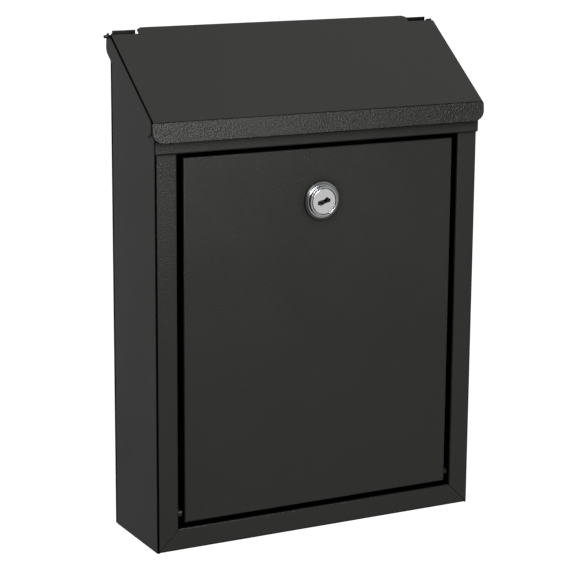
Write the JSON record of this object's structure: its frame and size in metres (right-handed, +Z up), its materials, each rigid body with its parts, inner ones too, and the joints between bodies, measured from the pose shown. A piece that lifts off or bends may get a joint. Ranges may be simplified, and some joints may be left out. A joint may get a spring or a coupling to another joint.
{
  "type": "wall mounted mailbox",
  "caption": "Folded steel wall mailbox: a sloping top lid hinged at the back covers the letter slot, and a lockable door in the front drops forward on pivots.",
  "frame": {"origin": "centre of the back panel's pressed flat, which lies on the wall", "axes": "+Z up; +Y into the wall, so the door and the lid's lip face -Y; +X to the right as seen from the front"},
  "size_m": [0.2592, 0.0805, 0.353],
  "materials": {
    "powder_coat": "fine textured black powder coat",
    "dark_steel": "blackened steel",
    "chrome": "polished chrome plate",
    "satin_nickel": "satin nickel plate",
    "zinc_steel": "bright zinc plate",
    "brass": "stamped brass"
  },
  "bodies": {
    "housing": {"left_side_panel": "powder_coat", "right_side_panel": "powder_coat", "back_panel": "powder_coat", "bottom_pan": "powder_coat", "front_top_rail": "powder_coat", "hinge_rod": "dark_steel", "left_pivot_rivet": "dark_steel", "right_pivot_rivet": "dark_steel", "left_pivot_spacer": "dark_steel", "right_pivot_spacer": "dark_steel"},
    "lid": {"lid": "powder_coat"},
    "door": {"door_panel": "powder_coat", "lock_rosette": "chrome", "lock_housing": "chrome", "lock_nut": "zinc_steel"},
    "lock": {"lock_plug": "satin_nickel", "lock_wafer_1": "brass", "lock_wafer_2": "brass", "lock_wafer_3": "brass", "lock_wafer_4": "brass", "lock_cam": "zinc_steel", "cam_washer": "zinc_steel", "cam_screw": "zinc_steel"}
  },
  "joints": [
    {"name": "lid_hinge", "type": "hinge", "parent": "housing", "child": "lid", "pos_m": [0, -0.0064, 0.17682], "axis": [-1, 0, 0], "range_deg": [0, 105]},
    {"name": "door_hinge", "type": "hinge", "parent": "housing", "child": "door", "pos_m": [0, -0.07, -0.146], "axis": [1, 0, 0], "range_deg": [0, 110]},
    {"name": "lock_turn", "type": "hinge", "parent": "door", "child": "lock", "pos_m": [0, -0.076, 0.0655], "axis": [0, 1, 0], "range_deg": [0, 90]}
  ]
}
